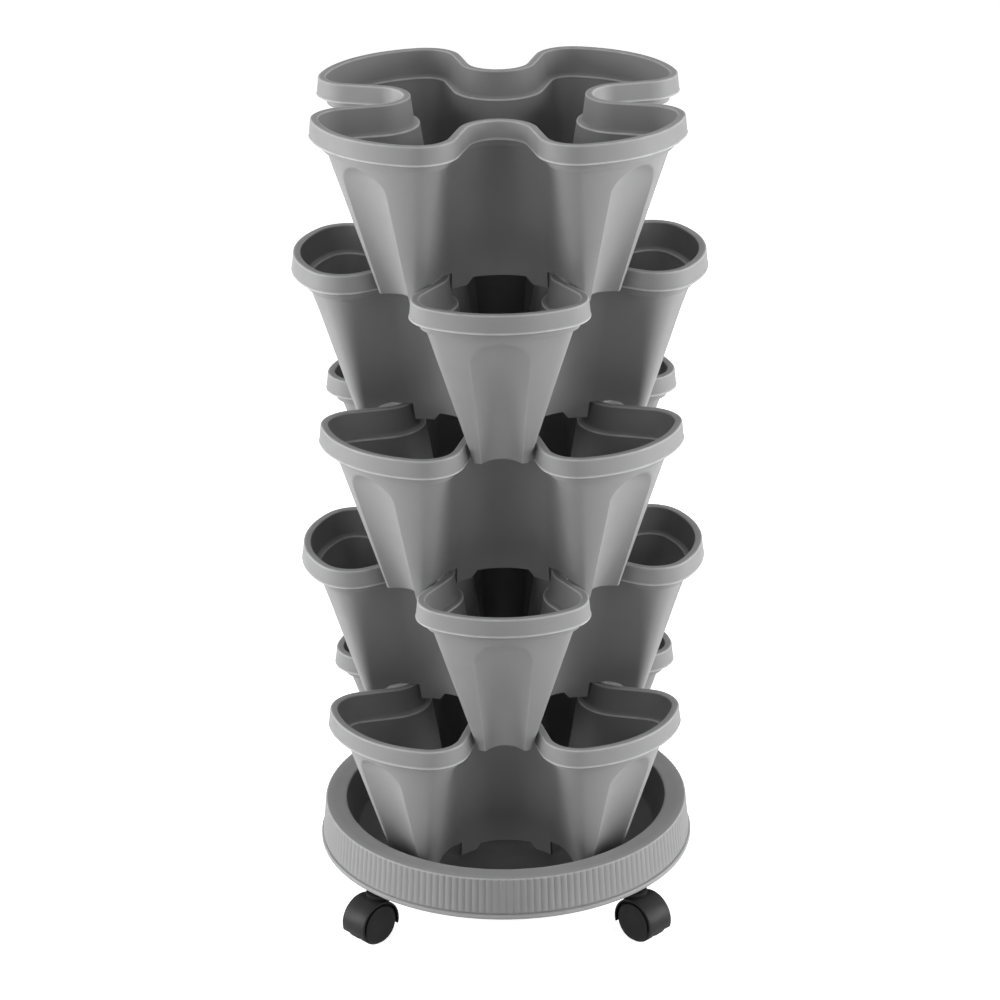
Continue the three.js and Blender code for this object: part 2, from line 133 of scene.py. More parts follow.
def make_object(name, verts, faces, material, smooth_angle=35, highlight_shares=None, painted_shades=None):
    mesh = bpy.data.meshes.new(name)
    mesh.from_pydata([[c * MM for c in v] for v in verts], [], faces)
    # Point attributes for the painted highlight on edges and the painted shade on inner faces
    for label, values in (("painted_highlight", highlight_shares), ("painted_shade", painted_shades)):
        if values:
            mesh.attributes.new(label, "FLOAT", "POINT").data.foreach_set("value", values)
    clean = bmesh.new()
    clean.from_mesh(mesh)
    bmesh.ops.remove_doubles(clean, verts=clean.verts, dist=MERGE)
    bmesh.ops.dissolve_degenerate(clean, edges=clean.edges, dist=SHORTEST_EDGE)
    bmesh.ops.recalc_face_normals(clean, faces=clean.faces)
    clean.to_mesh(mesh)
    clean.free()
    mesh.polygons.foreach_set("use_smooth", [True] * len(mesh.polygons))
    mesh.set_sharp_from_angle(angle=radians(smooth_angle))
    mesh.materials.append(material)
    obj = bpy.data.objects.new(name, mesh)
    bpy.context.collection.objects.link(obj)
    return obj


# Materials

# Sizes of the plastics' noises: the colour's clouds, the breaking up of the painted edge highlights, the
# gloss and the slow waves
CLOUDS = 14
HIGHLIGHT_BREAKUP = 110
GLOSS_PATCHES = 60
WAVES = 35
ROUGHNESS_SPREAD = 0.06
# Colour of the painted highlight on edges, and of the painted shade on inner faces, as a multiple of the
# plain colour
HIGHLIGHT_LIGHTER = 2.2
PAINTED_SHADE_DARKER = 0.5


def plastic(name, colour, roughness, gloss, grain, bump, variation):
    """Moulded plastic: faint cloudy colour, uneven gloss, a fine spark-eroded grain, painted highlights
    along edges and painted shade on inner faces.
    """
    material = bpy.data.materials.new(name)
    material.use_nodes = True
    nodes, links = material.node_tree.nodes, material.node_tree.links
    shader = nodes["Principled BSDF"]
    shader.inputs["Specular IOR Level"].default_value = gloss
    place = nodes.new("ShaderNodeTexCoord")

    def noise(scale, detail, distortion=0.0):
        texture = nodes.new("ShaderNodeTexNoise")
        texture.inputs["Scale"].default_value = scale
        texture.inputs["Detail"].default_value = detail
        texture.inputs["Distortion"].default_value = distortion
        links.new(place.outputs["Object"], texture.inputs["Vector"])
        return texture.outputs["Fac"]

    def spread(factor, low, high):
        remap = nodes.new("ShaderNodeMapRange")
        remap.inputs["From Min"].default_value = 0.3
        remap.inputs["From Max"].default_value = 0.7
        remap.inputs["To Min"].default_value = low
        remap.inputs["To Max"].default_value = high
        links.new(factor, remap.inputs["Value"])
        return remap.outputs["Result"]

    tint = nodes.new("ShaderNodeMix")
    tint.data_type = "RGBA"
    tint.inputs["A"].default_value = (*[c * (1 - variation) for c in colour], 1)
    tint.inputs["B"].default_value = (*[c * (1 + variation) for c in colour], 1)
    links.new(spread(noise(CLOUDS, 4, 0.6), 0, 1), tint.inputs["Factor"])
    # Painted shade: the colour is darkened on the marked faces, the pots' inner faces and the saucer's
    # tray, where little light reaches
    painted_shade = nodes.new("ShaderNodeAttribute")
    painted_shade.attribute_name = "painted_shade"
    shaded_colour = nodes.new("ShaderNodeMix")
    shaded_colour.data_type = "RGBA"
    shaded_colour.blend_type = "MULTIPLY"
    shaded_colour.inputs["B"].default_value = (PAINTED_SHADE_DARKER, PAINTED_SHADE_DARKER, PAINTED_SHADE_DARKER, 1)
    links.new(painted_shade.outputs["Fac"], shaded_colour.inputs["Factor"])
    links.new(tint.outputs["Result"], shaded_colour.inputs["A"])
    # Painted highlight: the colour is lightened on marked edges, where light catches them, and broken up by
    # a noise
    highlight_mask = nodes.new("ShaderNodeAttribute")
    highlight_mask.attribute_name = "painted_highlight"
    uneven = nodes.new("ShaderNodeMath")
    uneven.operation = "MULTIPLY"
    links.new(highlight_mask.outputs["Fac"], uneven.inputs[0])
    links.new(spread(noise(HIGHLIGHT_BREAKUP, 3), 0.65, 1), uneven.inputs[1])
    painted_highlight = nodes.new("ShaderNodeMix")
    painted_highlight.data_type = "RGBA"
    painted_highlight.inputs["B"].default_value = (*[min(0.9, c * HIGHLIGHT_LIGHTER) for c in colour], 1)
    links.new(uneven.outputs[0], painted_highlight.inputs["Factor"])
    links.new(shaded_colour.outputs["Result"], painted_highlight.inputs["A"])
    links.new(painted_highlight.outputs["Result"], shader.inputs["Base Color"])
    patches = spread(noise(GLOSS_PATCHES, 5), roughness - ROUGHNESS_SPREAD, roughness + ROUGHNESS_SPREAD)
    links.new(patches, shader.inputs["Roughness"])

    fine = nodes.new("ShaderNodeBump")
    fine.inputs["Strength"].default_value = bump
    fine.inputs["Distance"].default_value = 0.0001
    links.new(noise(grain, 3), fine.inputs["Height"])
    slow = nodes.new("ShaderNodeBump")
    slow.inputs["Strength"].default_value = 0.25
    slow.inputs["Distance"].default_value = 0.0004
    links.new(noise(WAVES, 2), slow.inputs["Height"])
    links.new(fine.outputs["Normal"], slow.inputs["Normal"])
    links.new(slow.outputs["Normal"], shader.inputs["Normal"])
    return material


planter_plastic = plastic("planter_plastic", (0.25, 0.25, 0.252), 0.55, 0.25, 1400, 0.35, 0.035)
caster_plastic = plastic("caster_plastic", (0.0095, 0.0095, 0.01), 0.48, 0.17, 2200, 0.3, 0.1)
wheel_plastic = plastic("wheel_plastic", (0.009, 0.009, 0.0095), 0.6, 0.14, 2600, 0.35, 0.1)


def plated_steel():
    """Plated steel with fine turned rings."""
    material = bpy.data.materials.new("plated_steel")
    material.use_nodes = True
    nodes, links = material.node_tree.nodes, material.node_tree.links
    shader = nodes["Principled BSDF"]
    shader.inputs["Metallic"].default_value = 1
    place = nodes.new("ShaderNodeTexCoord")
    stretch = nodes.new("ShaderNodeMapping")
    stretch.inputs["Scale"].default_value = (120, 120, 1500)
    rings = nodes.new("ShaderNodeTexNoise")
    rings.inputs["Scale"].default_value = 1
    rings.inputs["Detail"].default_value = 4
    links.new(place.outputs["Object"], stretch.inputs["Vector"])
    links.new(stretch.outputs["Vector"], rings.inputs["Vector"])
    colour = nodes.new("ShaderNodeMix")
    colour.data_type = "RGBA"
    colour.inputs["A"].default_value = (0.42, 0.43, 0.44, 1)
    colour.inputs["B"].default_value = (0.52, 0.53, 0.54, 1)
    links.new(rings.outputs["Fac"], colour.inputs["Factor"])
    links.new(colour.outputs["Result"], shader.inputs["Base Color"])
    gloss = nodes.new("ShaderNodeMapRange")
    gloss.inputs["To Min"].default_value = 0.22
    gloss.inputs["To Max"].default_value = 0.42
    links.new(rings.outputs["Fac"], gloss.inputs["Value"])
    links.new(gloss.outputs["Result"], shader.inputs["Roughness"])
    return material


steel = plated_steel()

# Clover pot

# Share of painted shade on the pot's inner faces, where little light reaches. The saucer's tray takes all
# of it.
POT_PAINTED_SHADE = 0.4


def clover(plan, grow):
    """The arcs and lines of half a lobe, from its tip to the valley, grown outwards."""
    tip_radius = plan.tip_radius + grow
    corner_radius = plan.corner_radius + grow
    valley_radius = plan.valley_radius - grow
    tip_centre = Vector((plan.tip - plan.tip_radius, 0))
    along = unit(plan.angle)
    out = Vector((-along.y, along.x))
    flank = Vector(plan.flank) + out * grow
    start = flank - out * corner_radius - tip_centre
    half = start.dot(along)
    reach = tip_radius - corner_radius
    from_tip = start + along * (-half + sqrt(half * half - start.length_squared + reach * reach))
    valley_out = unit(pi / LOBES)
    flank_line = out.dot(flank) + valley_radius
    valley_line = plan.valley + grow + valley_radius
    det = out.x * valley_out.y - out.y * valley_out.x
    valley_centre = Vector(
        (
            (flank_line * valley_out.y - valley_line * out.y) / det,
            (valley_line * out.x - flank_line * valley_out.x) / det,
        )
    )
    corner_centre = from_tip + tip_centre
    return SimpleNamespace(
        tip_centre=tip_centre,
        tip_radius=tip_radius,
        tip_angle=atan2(from_tip.y, from_tip.x),
        corner_centre=corner_centre,
        corner_radius=corner_radius,
        out_angle=atan2(out.y, out.x),
        flank_start=corner_centre + out * corner_radius,
        flank_end=valley_centre - out * valley_radius,
        valley_centre=valley_centre,
        valley_radius=valley_radius,
        valley_end=valley_centre - valley_out * valley_radius,
        axis_end=valley_out * (plan.valley + grow),
    )


def clover_point(parts, segment, share):
    if segment == "tip":
        return parts.tip_centre + unit(parts.tip_angle * share) * parts.tip_radius
    if segment == "corner":
        angle = parts.tip_angle + (parts.out_angle - parts.tip_angle) * share
        return parts.corner_centre + unit(angle) * parts.corner_radius
    if segment == "flank":
        return parts.flank_start.lerp(parts.flank_end, share)
    if segment == "valley":
        angle = parts.out_angle + (pi / LOBES - parts.out_angle) * share
        return parts.valley_centre - unit(angle) * parts.valley_radius
    return parts.valley_end.lerp(parts.axis_end, share)


def share_where(parts, segment, measure, wanted):
    """Share of a segment at which a falling or rising measure of the point reaches a value."""
    low, high = 0.0, 1.0
    rising = measure(clover_point(parts, segment, 1)) > measure(clover_point(parts, segment, 0))
    for _ in range(40):
        middle = (low + high) / 2
        if (measure(clover_point(parts, segment, middle)) < wanted) == rising:
            low = middle
        else:
            high = middle
    return (low + high) / 2


def from_valley_axis(point):
    return (point.x - point.y) / sqrt(2)


def slot_edge(x, start):
    """Height of the slot's upper edge, slightly bowed and rounded at its outer end."""
    bow = SLOT_BOW * sin(pi * max(0, min(1, (x - start) / (SLOT_OUTER - start)))) ** 2
    inside = x - (SLOT_OUTER - SLOT_CORNER)
    if inside <= 0:
        return SLOT_HEIGHT + bow
    return SLOT_HEIGHT - SLOT_CORNER + sqrt(max(0, SLOT_CORNER**2 - inside**2)) + bow


def even(start, end, steps):
    return [start + (end - start) * i / steps for i in range(steps + 1)]


def half_lobe_columns():
    """Columns from a lobe's tip to the valley: segment, share at the base, share at the rim, lower end."""
    base = clover(BASE, 0)
    shoulder = clover(RIM, -SHOULDER_INSET)
    columns = []

    base_edge = asin(FLUTE_BASE_HALF_WIDTH / base.tip_radius) / base.tip_angle
    lean = (FLUTE_HALF_WIDTH - FLUTE_BASE_HALF_WIDTH) / (FLUTE_TOP - FLUTE_ARCH)
    shoulder_half_width = FLUTE_BASE_HALF_WIDTH + lean * SHOULDER
    shoulder_edge = asin(shoulder_half_width / shoulder.tip_radius) / shoulder.tip_angle
    for share in even(0, 1, 24):
        columns.append(("tip", base_edge * share, shoulder_edge * share, 0))
    for share in [0.04, 0.1] + even(0.2, 1, 6):
        at_base = base_edge + (1 - base_edge) * share
        at_shoulder = shoulder_edge + (1 - shoulder_edge) * share
        columns.append(("tip", at_base, at_shoulder, 0))
    for share in even(0, 1, 9)[1:]:
        columns.append(("corner", share, share, 0))

    foot = share_where(base, "flank", lambda p: p.x, SLOT_OUTER)
    slot_straight = share_where(base, "flank", lambda p: p.x, SLOT_OUTER - SLOT_CORNER)
    slot_end = share_where(base, "valley", lambda p: p.x, SLOT_INNER)
    for share in even(0, foot, 2)[1:]:
        columns.append(("flank", share, share, 0))
    slot_start = clover_point(base, "valley", slot_end).x
    columns.append(("flank", foot, foot, SLOT_HEIGHT - SLOT_CORNER))
    for share in even(foot, slot_straight, 7)[1:] + even(slot_straight, 1, 6)[1:]:
        edge = slot_edge(clover_point(base, "flank", share).x, slot_start)
        columns.append(("flank", share, share, edge))
    for share in even(0, slot_end, 3)[1:-1]:
        edge = slot_edge(clover_point(base, "valley", share).x, slot_start)
        columns.append(("valley", share, share, edge))
    columns.append(("valley", slot_end, slot_end, SLOT_HEIGHT))

    arch_foot = share_where(base, "valley", from_valley_axis, ARCH_HALF_WIDTH)
    arch_top = share_where(base, "valley", from_valley_axis, ARCH_TOP_HALF_WIDTH)
    for share in even(slot_end, arch_foot, 5):
        columns.append(("valley", share, share, 0))
    for step, share in enumerate(even(arch_foot, arch_top, 3)[1:]):
        columns.append(("valley", share, share, ARCH_HEIGHT * (step + 1) / 3))
    for share in even(arch_top, 1, 9)[1:]:
        columns.append(("valley", share, share, ARCH_HEIGHT))
    columns.append(("flat", 1, 1, ARCH_HEIGHT))
    return columns


def flute_half_width(z):
    arch = min(1, (FLUTE_TOP - z) / FLUTE_ARCH)
    straight = max(0, (FLUTE_TOP - FLUTE_ARCH - z) / (FLUTE_TOP - FLUTE_ARCH))
    half_width = FLUTE_HALF_WIDTH + (FLUTE_BASE_HALF_WIDTH - FLUTE_HALF_WIDTH) * straight
    return half_width * sqrt(1 - (1 - arch) ** 2)


def flute_depth(y, z):
    if z >= FLUTE_TOP or abs(y) >= flute_half_width(z):
        return 0
    below = FLUTE_TOP - z
    depth = FLUTE_TOP_DEPTH * (1 - (1 - min(1, below / FLUTE_END)) ** 2)
    depth += (FLUTE_DEPTH - FLUTE_TOP_DEPTH) * (below / FLUTE_TOP) ** FLUTE_FALL
    return depth * (1 - (abs(y) / flute_half_width(z)) ** FLUTE_FULLNESS)


def ridge_highlight(segment, y, z):
    """How much painted highlight the ridge beside the flute takes."""
    if segment != "tip" or z >= FLUTE_TOP:
        return 0
    return RIDGE_HIGHLIGHT * max(0, 1 - abs(abs(y) - flute_half_width(z)) / RIDGE_WIDTH)


BODY_LEVELS = (
    [0, 1.6, 3.2, 4.8, 6.4, 8.4, 10.4, 12.6, 14.8, 16.4]
    + even(20, 92, 16)
    + even(93, 116, 20)
    + [117.2, 118.3]
)
LEVEL_PLAY = 0.01

# Section over the rim: how far out, how high, how much painted highlight. It goes up the wall behind the
# band, down the band's inside, round its foot, up its face, over the rim and down the collar to the ledge
# inside.
RIM_SECTION = [
    (-5.1, 119.3, 0), (-4.85, 119.75, 0), (-4.3, 120.05, 0), (-1.4, 120.8, 0), (-0.8, 121.1, 0),
    (-0.5, 121.7, 0), (-0.4, 122.6, 0), (0.9, 131, 0), (2.5, 140, 0), (3, 141.05, 0), (3.8, 141.4, 0),
    (4.6, 141.2, 0), (5.1, 140.4, 0), (5.6, 133, 0), (5.95, 130, 0), (6.05, 129.2, 0), (6.4, 128.75, 0.2),
    (7, 128.6, 0.5), (7.6, 128.65, 0.9), (8, 129, 0.9), (8.1, 129.5, 0.9), (8, 130.05, 0.4),
    (7.65, 130.55, 0.1), (7.5, 131.1, 0), (7.45, 132, 0), (7, 136, 0), (6.6, 140, 0), (6.42, 142.4, 0),
    (6.3, 143.2, 0.3), (6, 143.7, 0.7), (5.5, 143.95, 0.6), (4.8, 144, 0.1), (3.2, 144, 0), (1.4, 144, 0),
    (0.7, 143.95, 0.2), (0.25, 143.7, 0.5), (0.05, 143.2, 0.3), (0, 142.4, 0), (-0.8, 136, 0),
    (-1.6, 130, 0), (-2.5, 123.9, 0), (-2.65, 123.1, 0), (-3.1, 122.6, 0), (-3.7, 122.35, 0),
    (-6, 121.75, 0.2), (-6.6, 121.5, 0.8), (-6.95, 121.15, 1), (-7.15, 120.7, 0.8), (-7.2, 120.1, 0),
]
# Row of the rim's section where the inner face, with its painted shade, starts
INNER_FACE_ROW = RIM_SECTION.index((0, 142.4, 0))


def pot_mesh(first_turn):
    """One pot, with its first lobe turned by an angle about the tower's axis."""
    columns = half_lobe_columns()
    outer_base, inner_base = clover(BASE, 0), clover(BASE, -WALL)
    outer_top, inner_top = clover(RIM, -SHOULDER_INSET), clover(RIM, -SHOULDER_INSET - WALL)
    sections = [(clover(RIM, grow), z, highlight_share) for grow, z, highlight_share in RIM_SECTION]

    def wall_point(low, high, column, level):
        segment, base_share, rim_share, bottom = column
        z = max(level, bottom)
        below, above = clover_point(low, segment, base_share), clover_point(high, segment, rim_share)
        point = below.lerp(above, z / SHOULDER)
        highlight_share = ridge_highlight(segment, point.y, z) if low is outer_base else 0
        if segment == "tip":
            point.x -= flute_depth(point.y, z)
        return (point.x, point.y, z, highlight_share)

    half = []
    for column in columns:
        strip = [wall_point(outer_base, outer_top, column, level) for level in BODY_LEVELS]
        for parts, z, highlight_share in sections:
            strip.append((*clover_point(parts, column[0], column[2]), z, highlight_share))
        strip += [wall_point(inner_base, inner_top, column, level) for level in reversed(BODY_LEVELS)]
        half.append(strip)

    lobe = [([(x, -y, z, highlight_share) for x, y, z, highlight_share in half[i]], i) for i in range(len(half) - 1, 0, -1)]
    lobe += [(half[i], i) for i in range(len(half))]
    inner_start = len(BODY_LEVELS) + INNER_FACE_ROW
    verts, highlight_shares, shade_shares, ring = [], [], [], []
    for turn in range(LOBES):
        c, s = unit(first_turn + turn * 2 * pi / LOBES)
        for strip, i in lobe:
            ring.append((len(verts), columns[i]))
            verts += [(c * x - s * y, s * x + c * y, z) for x, y, z, _ in strip]
            highlight_shares += [highlight_share for _, _, _, highlight_share in strip]
            # Painted shade on the inner faces, from the rim's inner edge down
            shade_shares += [0] * inner_start + [POT_PAINTED_SHADE] * (len(strip) - inner_start)

    rows = len(half[0])
    levels = len(BODY_LEVELS)
    faces = []
    for k, (a, column) in enumerate(ring):
        b, neighbour = ring[(k + 1) % len(ring)]
        if column[:3] == neighbour[:3] and column[3] != neighbour[3]:
            # A slot's upright end: the wall's thickness between the two lower ends
            deep = a if column[3] < neighbour[3] else b
            bottom, top = sorted((column[3], neighbour[3]))
            for j in range(levels - 1):
                if BODY_LEVELS[j] >= bottom - LEVEL_PLAY and BODY_LEVELS[j + 1] <= top + LEVEL_PLAY:
                    faces.append((deep + j, deep + j + 1, deep + rows - 2 - j, deep + rows - 1 - j))
            continue
        for j in range(rows):
            n = (j + 1) % rows
            faces.append((a + j, b + j, b + n, a + n))
    return verts, faces, highlight_shares, shade_shares


def build_pots():
    meshes = {}
    for i in range(POTS):
        turned = i % 2 == 0
        name = f"pot_tier_{i + 1}"
        if turned in meshes:
            obj = bpy.data.objects.new(name, meshes[turned])
            bpy.context.collection.objects.link(obj)
        else:
            verts, faces, highlight_shares, shade_shares = pot_mesh(pi / LOBES if turned else 0)
            obj = make_object(name, verts, faces, planter_plastic, 24, highlight_shares, shade_shares)
            meshes[turned] = obj.data
        obj.location.z = (TRAY_FLOOR_TOP + FLOOR_PLAY + i * STACK_PITCH) * MM
        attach(obj, f"tier_{i + 1}")
        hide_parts(f"planter_tier_{i + 1}")


# Saucer


def revolve(profile, steps, ripple=None):
    """Closed or axis-to-axis profile of (radius, height) turned about Z."""
    verts, faces = [], []
    for k in range(steps):
        angle = 2 * pi * k / steps
        for j, (r, z) in enumerate(profile):
            grown = r + (ripple(j, k) if ripple else 0)
            verts.append((grown * cos(angle), grown * sin(angle), z))
    count = len(profile)
    for k in range(steps):
        a, b = k * count, (k + 1) % steps * count
        for j in range(count - 1):
            faces.append((a + j, b + j, b + j + 1, a + j + 1))
    return verts, faces


# Radius and height round the moulding: underside of the tray, skirt's inside, foot bead, reeds, rim, tray
SAUCER_PROFILE = [
    (0, 48.4), (60, 48.4), (120, 48.4), (130.2, 48.4), (131.2, 48.6), (131.9, 49.3), (136.4, 63),
    (141.1, 76.8), (141.6, 77.7), (142.6, 78.1), (148, 78.1), (154.4, 78.1), (155.5, 77.8), (156.1, 76.9),
    (157.6, 62), (159.2, 46.2), (159.5, 44.6), (160, 44.15), (160.9, 44.1), (162, 44.15), (162.5, 44.5),
    (162.75, 45.2), (162.75, 46.9), (162.5, 47.6), (162, 48.1), (161.2, 48.4), (160.4, 48.55),
    (160.2, 48.85), (160.25, 49.15), (160.6, 49.4), (161.2, 49.6), (161.15, 50), (160.3, 57), (159.4, 66),
    (158.5, 75.6), (158.35, 78), (158.3, 79), (158.15, 79.6), (157.8, 80), (157.2, 80.25), (156.4, 80.3),
    (150, 80.3), (141.4, 80.3), (140.5, 80.2), (139.8, 79.8), (139.4, 78.9), (134.6, 64.6), (130.4, 52.2),
    (129.9, 51.2), (129, 50.6), (127.8, 50.4), (120, 50.4), (60, 50.4), (0, 50.4),
]
# Row of the profile where the tray's face, with its painted shade, starts
TRAY_START = 45
# Share of a reed's depth in each row of the skirt, and how much painted highlight the bead and the rim's
# two edges take
REEDED_ROWS = {30: 0.5, **dict.fromkeys(range(31, 37), 1), 37: 0.9, 38: 0.6, 39: 0.2}
HIGHLIGHT_ROWS = {21: 0.2, 22: 0.25, 23: 0.2, 37: 0.25, 38: 0.5, 39: 0.4, 40: 0.1, 42: 0.1, 43: 0.4, 44: 0.4}

SOCKET_PROFILE = [
    (4.3, 45.3), (4.6, 45.1), (6.3, 45.1), (6.8, 45.4), (7, 46.1), (7, 79), (4.3, 79), (4.3, 45.3),
]
# Steps round a small turned piece
ROUND = 40


def build_saucer():
    """The skirt is reeded: shallow rounded reeds side by side, with a sharp groove between two."""

    def ripple(row, step):
        across = 2 * (step % REED_STEPS) / REED_STEPS - 1
        return -REED_DEPTH * across**2 * REEDED_ROWS.get(row, 0)

    verts, faces = revolve(SAUCER_PROFILE, REEDS * REED_STEPS, ripple)
    rows = [i % len(SAUCER_PROFILE) for i in range(len(verts))]
    highlight_shares = [HIGHLIGHT_ROWS.get(row, 0) for row in rows]
    # Painted shade over the whole tray
    shade_shares = [float(row >= TRAY_START) for row in rows]
    saucer = make_object(
        "saucer_moulding", verts, faces, planter_plastic, 32, highlight_shares, shade_shares
    )
    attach(saucer, "base")
    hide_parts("saucer")
    for i, name in enumerate(CASTER_NAMES):
        angle = pi / 4 + i * pi / 2
        verts, faces = revolve(SOCKET_PROFILE, ROUND)
        socket = make_object(f"socket_{name}", verts, faces, planter_plastic)
        socket.location = (*(unit(angle) * CASTER_CIRCLE * MM), 0)
        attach(socket, "base")


# Casters


def place_on_caster(obj, index, body):
    angle = pi / 4 + index * pi / 2
    spot = unit(angle) * CASTER_CIRCLE * MM
    obj.matrix_world = Matrix.Translation((*spot, 0)) @ Matrix.Rotation(angle, 4, "Z") @ obj.matrix_world
    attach(obj, body)
    return obj


def hood_section():
    """Housing's cross-section along the axle: height above the axle's circle, and offset along the axle."""
    half = WHEEL_OUTER
    inner = HOOD_INNER_RADIUS
    outer = HOOD_RADIUS
    return [
        (inner, WEB_HALF + 0.2), (inner, half - 0.25), (inner + 0.25, half), (outer - 0.5, half),
        (outer - 0.12, half - 0.2), (outer, half - 0.8), (outer, 4), (outer, 0),
    ]


def build_caster(index):
    name = CASTER_NAMES[index]
    body = f"caster_{name}"
    half = hood_section()
    web = [(WEB_INNER_RADIUS, -WEB_HALF), (WEB_INNER_RADIUS, WEB_HALF)]
    section = half + [(r, -y) for r, y in reversed(half[:-1])] + web
    verts, faces = [], []
    count = len(section)
    for angle in even(HOOD_START, HOOD_END, HOOD_STEPS):
        for r, y in section:
            verts.append((TRAIL + r * cos(angle), y, WHEEL_RADIUS + r * sin(angle)))
    for k in range(HOOD_STEPS):
        for j in range(count):
            n = (j + 1) % count
            a, b = k * count, (k + 1) * count
            faces.append((a + j, b + j, b + n, a + n))
    faces.append(tuple(range(count)))
    faces.append(tuple(range(HOOD_STEPS * count, (HOOD_STEPS + 1) * count)))
    hood = make_object(f"hood_{name}", verts, faces, caster_plastic, 30)
    bevel = hood.modifiers.new("edges", "BEVEL")
    bevel.width = 0.3 * MM
    bevel.segments = 2
    bevel.limit_method = "ANGLE"
    bevel.angle_limit = radians(50)
    bevel.harden_normals = True
    place_on_caster(hood, index, body)
    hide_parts(f"caster_housing_{name}")

    hub = [(2.8, -WEB_HALF), (10.2, -WEB_HALF), (10.2, WEB_HALF), (2.8, WEB_HALF), (2.8, -WEB_HALF)]
    verts, faces = revolve(hub, ROUND)
    verts = [(TRAIL + x, z, WHEEL_RADIUS + y) for x, y, z in verts]
    place_on_caster(make_object(f"hub_{name}", verts, faces, caster_plastic), index, body)

    boss = [
        (4.3, 33), (6.4, 33), (7, 34), (7, 43.5), (6.8, 44.1), (6.2, 44.3), (4.8, 44.3), (4.3, 43.9),
        (4.3, 33),
    ]
    verts, faces = revolve(boss, ROUND)
    place_on_caster(make_object(f"boss_{name}", verts, faces, caster_plastic), index, body)

    cap = [(4.3, 38.6), (13, 38.6), (13, 42.4), (12.9, 42.6), (12.7, 42.7), (4.3, 42.8), (4.3, 38.6)]
    verts, faces = revolve(cap, 48)
    verts = [(x * CAP_STRETCH + max(0, x) * CAP_REACH_FORWARD, y, z) for x, y, z in verts]
    place_on_caster(make_object(f"cap_{name}", verts, faces, caster_plastic), index, body)

    pin = [(0, 32), (3.6, 32), (4, 32.4), (4, 75.8), (3, 76.8), (0, 76.8)]
    verts, faces = revolve(pin, ROUND)
    stem = place_on_caster(make_object(f"stem_{name}", verts, faces, steel), index, "base")
    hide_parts(f"caster_stem_{name}")

    rod = [(0, -11.2), (2.2, -11.2), (2.5, -10.9), (2.5, 10.9), (2.2, 11.2), (0, 11.2)]
    verts, faces = revolve(rod, 32)
    verts = [(TRAIL + x, z, WHEEL_RADIUS + y) for x, y, z in verts]
    axle = place_on_caster(make_object(f"axle_{name}", verts, faces, steel), index, body)
    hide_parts(f"caster_axle_{name}")

    outer = WHEEL_OUTER
    wheel_profile = [
        (0, outer - 1.7), (2.8, outer - 1.7), (2.8, WHEEL_INNER), (18.3, WHEEL_INNER),
        (18.9, WHEEL_INNER + 0.4), (19, WHEEL_INNER + 1), (19, outer - 3.8), (18.7, outer - 3),
        (18.1, outer - 2.6), (17.3, outer - 2.4), (16.95, outer - 2.1), (16.9, outer - 0.6),
        (16.6, outer - 0.2), (16, outer - 0.1), (9, outer - 0.3), (3, outer - 0.2), (0, outer - 0.2),
    ]
    for side, sign in (("a", 1), ("b", -1)):
        verts, faces = revolve(wheel_profile, WHEEL_STEPS)
        verts = [(TRAIL + x, sign * z, WHEEL_RADIUS + y) for x, y, z in verts]
        wheel = make_object(f"wheel_{name}_{side}", verts, faces, wheel_plastic, 30)
        place_on_caster(wheel, index, f"wheel_{name}_{side}")
        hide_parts(f"caster_wheel_{name}_{side}")


build_pots()
build_saucer()
for caster in range(4):
    build_caster(caster)

# Camera at the photograph's viewing angle
CAMERA_PLACE = (0.0074687, -2.5491187, 1.4256644)
CAMERA_YAW = -0.003744
CAMERA_PITCH = 0.396604
CAMERA_ROLL = -0.011572
CAMERA_LENS = 117.3748
forward = Vector(
    (sin(CAMERA_YAW) * cos(CAMERA_PITCH), cos(CAMERA_YAW) * cos(CAMERA_PITCH), -sin(CAMERA_PITCH))
)
level = Vector((cos(CAMERA_YAW), -sin(CAMERA_YAW), 0))
raised = level.cross(forward)
right = level * cos(CAMERA_ROLL) + raised * sin(CAMERA_ROLL)
up = raised * cos(CAMERA_ROLL) - level * sin(CAMERA_ROLL)
camera_data = bpy.data.cameras.new("camera")
camera_data.sensor_width = 36
camera_data.lens = CAMERA_LENS
camera_data.clip_start = 0.1
camera_data.clip_end = 50
camera = bpy.data.objects.new("camera", camera_data)
camera.matrix_world = Matrix.Translation(CAMERA_PLACE) @ Matrix((right, up, -forward)).transposed().to_4x4()
bpy.context.collection.objects.link(camera)
scene = bpy.context.scene
scene.camera = camera
scene.view_settings.view_transform = "Standard"


# Studio


def shown_directly(tree):
    """1 for camera, mirror and see-through rays, and 0 for the light that falls on the object."""
    nodes, links = tree.nodes, tree.links
    path = nodes.new("ShaderNodeLightPath")
    seen = nodes.new("ShaderNodeMath")
    seen.operation = "MAXIMUM"
    links.new(path.outputs["Is Camera Ray"], seen.inputs[0])
    links.new(path.outputs["Is Glossy Ray"], seen.inputs[1])
    through = nodes.new("ShaderNodeMath")
    through.operation = "MAXIMUM"
    links.new(seen.outputs[0], through.inputs[0])
    links.new(path.outputs["Is Transmission Ray"], through.inputs[1])
    return through.outputs[0]


WHITE = (1, 1, 1, 1)
WORLD_STRENGTH = 0.02
FLOOR_GLOW = 0.86
FLOOR_HALF_WIDTH = 8
world = bpy.data.worlds.new("studio")
scene.world = world
world.use_nodes = True
world_nodes, world_links = world.node_tree.nodes, world.node_tree.links
light_field = world_nodes["Background"]
light_field.inputs["Color"].default_value = WHITE
light_field.inputs["Strength"].default_value = WORLD_STRENGTH
backdrop = world_nodes.new("ShaderNodeBackground")
backdrop.inputs["Color"].default_value = WHITE
backdrop.inputs["Strength"].default_value = 1
world_mix = world_nodes.new("ShaderNodeMixShader")
world_links.new(shown_directly(world.node_tree), world_mix.inputs["Fac"])
world_links.new(light_field.outputs[0], world_mix.inputs[1])
world_links.new(backdrop.outputs[0], world_mix.inputs[2])
world_links.new(world_mix.outputs[0], world_nodes["World Output"].inputs["Surface"])

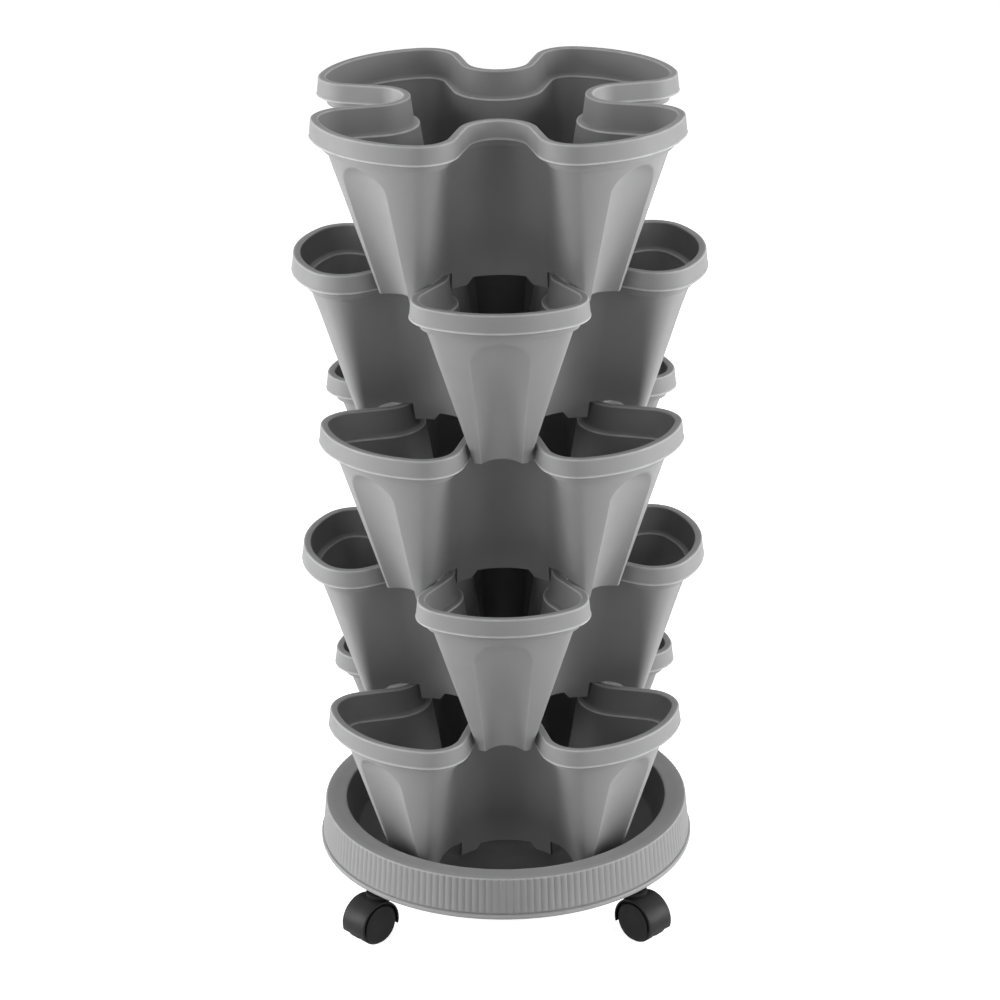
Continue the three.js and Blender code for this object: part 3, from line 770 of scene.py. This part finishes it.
floor_mesh = bpy.data.meshes.new("floor")
floor_corners = [
    (x * FLOOR_HALF_WIDTH, y * FLOOR_HALF_WIDTH, 0) for x, y in ((-1, -1), (1, -1), (1, 1), (-1, 1))
]
floor_mesh.from_pydata(floor_corners, [], [(0, 1, 2, 3)])
floor = bpy.data.objects.new("floor", floor_mesh)
bpy.context.collection.objects.link(floor)
floor_material = bpy.data.materials.new("floor")
floor_material.use_nodes = True
floor_nodes, floor_links = floor_material.node_tree.nodes, floor_material.node_tree.links
floor_shader = floor_nodes["Principled BSDF"]
floor_shader.inputs["Base Color"].default_value = (0.8, 0.8, 0.8, 1)
floor_shader.inputs["Roughness"].default_value = 0.9
floor_shader.inputs["Specular IOR Level"].default_value = 0
floor_glow = floor_nodes.new("ShaderNodeEmission")
floor_glow.inputs["Color"].default_value = WHITE
floor_glow.inputs["Strength"].default_value = FLOOR_GLOW
floor_sum = floor_nodes.new("ShaderNodeAddShader")
floor_dark = floor_nodes.new("ShaderNodeMixShader")
floor_links.new(shown_directly(floor_material.node_tree), floor_dark.inputs["Fac"])
floor_links.new(floor_shader.outputs[0], floor_sum.inputs[0])
floor_links.new(floor_glow.outputs[0], floor_sum.inputs[1])
floor_links.new(floor_shader.outputs[0], floor_dark.inputs[1])
floor_links.new(floor_sum.outputs[0], floor_dark.inputs[2])
floor_links.new(floor_dark.outputs[0], floor_nodes["Material Output"].inputs["Surface"])
floor_mesh.materials.append(floor_material)


def softbox(name, azimuth, elevation, size, power):
    """A lamp that faces the tower, at an angle from the front towards the right and one above the level."""
    data = bpy.data.lights.new(name, "AREA")
    data.shape = "RECTANGLE"
    data.size, data.size_y = size
    data.energy = power
    obj = bpy.data.objects.new(name, data)
    turn, rise = radians(azimuth), radians(elevation)
    away = Vector((sin(turn) * cos(rise), -cos(turn) * cos(rise), sin(rise)))
    aim = away.to_track_quat("Z", "Y").to_matrix().to_4x4()
    obj.matrix_world = Matrix.Translation(away * SOFTBOX_DISTANCE + Vector((0, 0, SOFTBOX_AIM))) @ aim
    bpy.context.collection.objects.link(obj)


# Metres from the point aimed at, and that point's height
SOFTBOX_DISTANCE = 2.6
SOFTBOX_AIM = 0.4
for side, sign in (("left", -1), ("right", 1)):
    softbox(f"side_{side}", sign * 84, 8, (1.0, 1.6), 69)
    softbox(f"front_{side}", sign * 40, 22, (0.8, 1.2), 15)
    softbox(f"rear_{side}", sign * 120, 25, (0.8, 1.2), 8)
softbox("top", 0, 78, (1.2, 1.2), 11)
softbox("back", 180, 55, (1.2, 1.0), 6)
